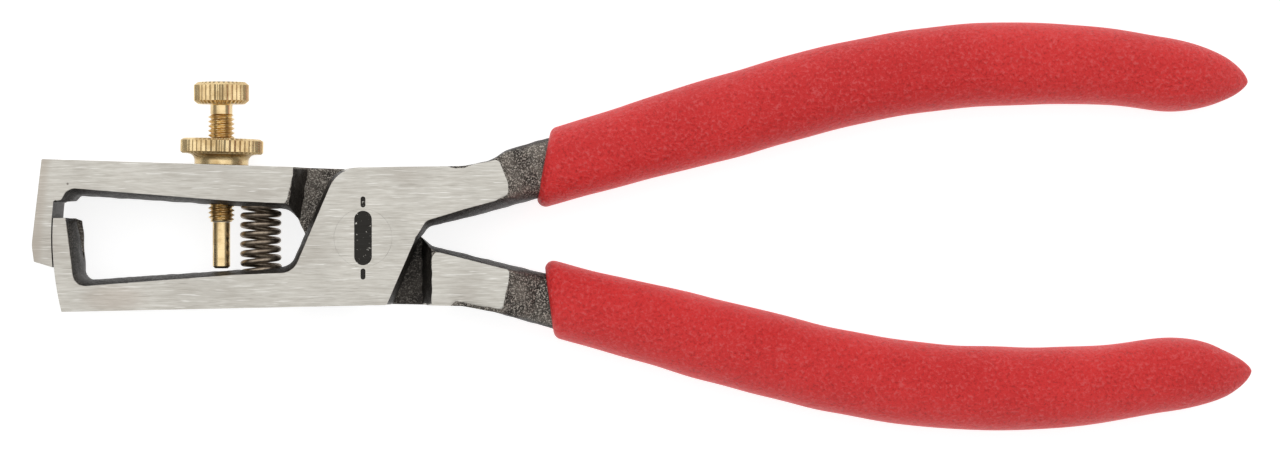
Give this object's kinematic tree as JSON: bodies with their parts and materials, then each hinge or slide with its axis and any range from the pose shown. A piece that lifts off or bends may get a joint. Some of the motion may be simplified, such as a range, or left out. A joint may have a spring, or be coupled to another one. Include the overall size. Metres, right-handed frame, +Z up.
{
  "type": "wire stripper",
  "caption": "End-cutting wire stripper: two pivoted jaws with V-notched blades, opening spring, adjusting screw with lock nut, dipped handle grips.",
  "frame": {"origin": "on the rivet axis, at the lower ground face of the head", "axes": "+X towards the handle ends, +Y across the handles towards the knurled screw head, +Z up along the rivet axis"},
  "size_m": [0.159, 0.0533, 0.011],
  "materials": {
    "forged_steel": "ground faces, dark granular forged sides",
    "rivet_steel": "ground flush",
    "spring_steel": "oiled dark bronze",
    "brass": "turned and knurled",
    "grip_red": "satin dipped coating"
  },
  "bodies": {
    "fixed_side": {"back_half": "forged_steel", "joint_rivet": "rivet_steel", "lower_grip": "grip_red", "spring": "spring_steel"},
    "turning_side": {"front_half": "forged_steel", "upper_grip": "grip_red"},
    "screw_travel": {"stop_pin": "brass"},
    "screw": {"adjusting_screw": "brass"},
    "nut": {"lock_nut": "brass"}
  },
  "joints": [
    {"name": "handle_pivot", "type": "hinge", "parent": "fixed_side", "child": "turning_side", "pos_m": [0, 0, 0.0055], "axis": [0, 0, 1], "range_deg": [-0.7, 8], "stiffness_Nm_per_rad": 0.8, "deforming": ["spring"]},
    {"name": "screw_feed", "type": "slide", "parent": "fixed_side", "child": "screw_travel", "axis": [0, 1, 0], "range_m": [0, 0.003]},
    {"name": "screw_turn", "type": "hinge", "parent": "screw_travel", "child": "screw", "pos_m": [-0.019, 0.018, 0.0055], "axis": [0, 1, 0], "range_deg": [0, 1800]},
    {"name": "nut_turn", "type": "hinge", "parent": "fixed_side", "child": "nut", "pos_m": [-0.019, 0.0095, 0.0055], "axis": [0, 1, 0], "range_deg": [0, 180]}
  ],
  "couplings": [
    {"joint": "screw_turn", "follows": "screw_feed", "rad_per_m": 10472}
  ]
}
